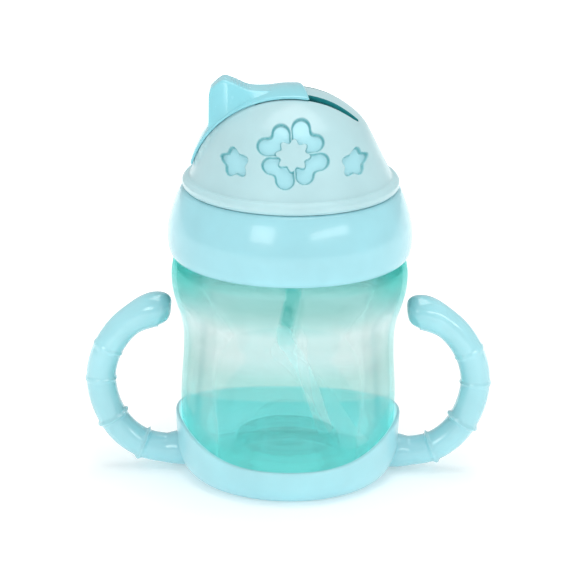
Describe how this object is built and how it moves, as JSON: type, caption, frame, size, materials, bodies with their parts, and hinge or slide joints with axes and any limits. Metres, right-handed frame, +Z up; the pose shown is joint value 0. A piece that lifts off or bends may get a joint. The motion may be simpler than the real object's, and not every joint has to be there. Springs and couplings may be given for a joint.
{
  "type": "straw training cup",
  "caption": "Toddler straw cup with a clear bottle, screw collar, slide-open domed lid and a two-handled base holder.",
  "frame": {"origin": "centre of the foot on the ground plane", "axes": "+Z up along the cup's axis, +X through the right handle as seen from the front, +Y to the back"},
  "size_m": [0.1418, 0.0846, 0.1418],
  "materials": {
    "holder_plastic": "gloss",
    "handle_plastic": "gloss",
    "bottle_clear": "gloss",
    "collar_plastic": "gloss",
    "cover_plastic": "satin",
    "shell_plastic": "gloss",
    "slider_plastic": "gloss",
    "silicone": "matte",
    "straw_plastic": "satin"
  },
  "bodies": {
    "holder": {"base_holder": "holder_plastic", "left_handle": "handle_plastic", "right_handle": "handle_plastic"},
    "bottle": {"bottle": "bottle_clear"},
    "gasket": {"sealing_gasket": "silicone"},
    "lid": {"lid_base": "shell_plastic", "inner_shell": "shell_plastic", "dome_cover": "cover_plastic", "spout_base": "silicone", "upper_straw": "straw_plastic", "straw_joint": "silicone", "lower_straw": "straw_plastic", "vent_valve": "silicone"},
    "collar": {"screw_collar": "collar_plastic"},
    "slider": {"slider": "slider_plastic"},
    "spout": {"spout_tip": "silicone"}
  },
  "joints": [
    {"name": "bottle_lift", "type": "slide", "parent": "holder", "child": "bottle", "axis": [0, 0, 1], "range_m": [0, 0.08]},
    {"name": "thread_rise", "type": "slide", "parent": "bottle", "child": "gasket", "axis": [0, 0, 1], "range_m": [0, 0.0076]},
    {"name": "lid_lift_off", "type": "slide", "parent": "gasket", "child": "lid", "axis": [0, 0, 1], "range_m": [0, 0.15]},
    {"name": "collar_turn", "type": "hinge", "parent": "lid", "child": "collar", "pos_m": [0, 0, 0.09], "axis": [0, 0, 1], "range_deg": [0, 450]},
    {"name": "slider_turn", "type": "hinge", "parent": "lid", "child": "slider", "pos_m": [0, 0, 0.104], "axis": [0, 1, 0], "range_deg": [0, 30]},
    {"name": "spout_fold", "type": "hinge", "parent": "lid", "child": "spout", "pos_m": [-0.015, 0, 0.111], "axis": [0, -1, 0], "range_deg": [0, 105.1], "deforming": ["spout_tip"]}
  ],
  "couplings": [
    {"joint": "thread_rise", "follows": "collar_turn", "m_per_rad": 0.00095493},
    {"joint": "spout_fold", "follows": "slider_turn", "ratio": 3.5}
  ]
}
